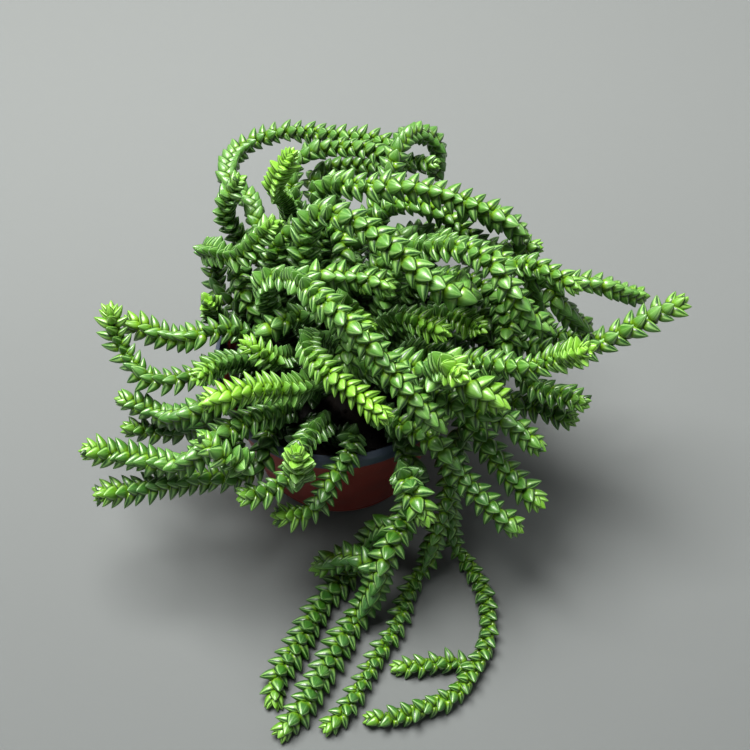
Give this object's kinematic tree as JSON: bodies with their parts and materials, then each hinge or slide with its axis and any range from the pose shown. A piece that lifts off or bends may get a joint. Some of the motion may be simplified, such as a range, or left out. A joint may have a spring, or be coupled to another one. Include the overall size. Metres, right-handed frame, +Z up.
{
  "type": "potted crassula",
  "caption": "Trailing potted crassula: string-like succulent stems clad in opposite pairs of thick pointed leaves, piled over a round nursery pot and trailing from it.",
  "frame": {"origin": "centre of the flat underside of the pot's base", "axes": "+Z up along the pot's axis, +X to the right and -Y to the front, where stems trail over the rim"},
  "size_m": [0.1989, 0.2166, 0.1323],
  "materials": {
    "pot": "semi-gloss",
    "soil": "rough",
    "leaf": "waxy"
  },
  "bodies": {
    "root": {"pot": "pot", "soil": "soil", "left_upturned": "leaf", "left_upper": "leaf", "left_shaded": "leaf", "left_low": "leaf", "left_bright": "leaf", "centre_bright": "leaf", "left_long": "leaf", "left_longer_low": "leaf", "left_short": "leaf", "left_tiny": "leaf", "front_upturned": "leaf", "front_hooked": "leaf", "left_stub": "leaf", "left_ribbed": "leaf", "left_blunt": "leaf", "left_inner": "leaf", "back_loop": "leaf", "back_right_hook": "leaf", "back_row_high": "leaf", "back_row_low": "leaf", "top_bright": "leaf", "back_short": "leaf", "left_loop": "leaf", "left_back_fall": "leaf", "inner_fall": "leaf", "crest_left": "leaf", "crest_long": "leaf", "crest_large": "leaf", "crest_high": "leaf", "shade_high": "leaf", "right_long": "leaf", "right_crest": "leaf", "shade_back": "leaf", "shade_mid": "leaf", "shade_low": "leaf", "rib_a": "leaf", "rib_b": "leaf", "rib_c": "leaf", "right_big": "leaf", "right_fall": "leaf", "right_reach": "leaf", "right_low_bright": "leaf", "right_drop": "leaf", "right_shaded": "leaf", "right_back": "leaf", "fork_short": "leaf", "fork_long": "leaf", "front_right": "leaf", "shade_right": "leaf", "trail_main": "leaf", "trail_right": "leaf", "trail_loop": "leaf", "back_drape_left": "leaf", "back_drape_middle": "leaf", "back_drape_right": "leaf", "right_drape": "leaf"}
  },
  "joints": []
}
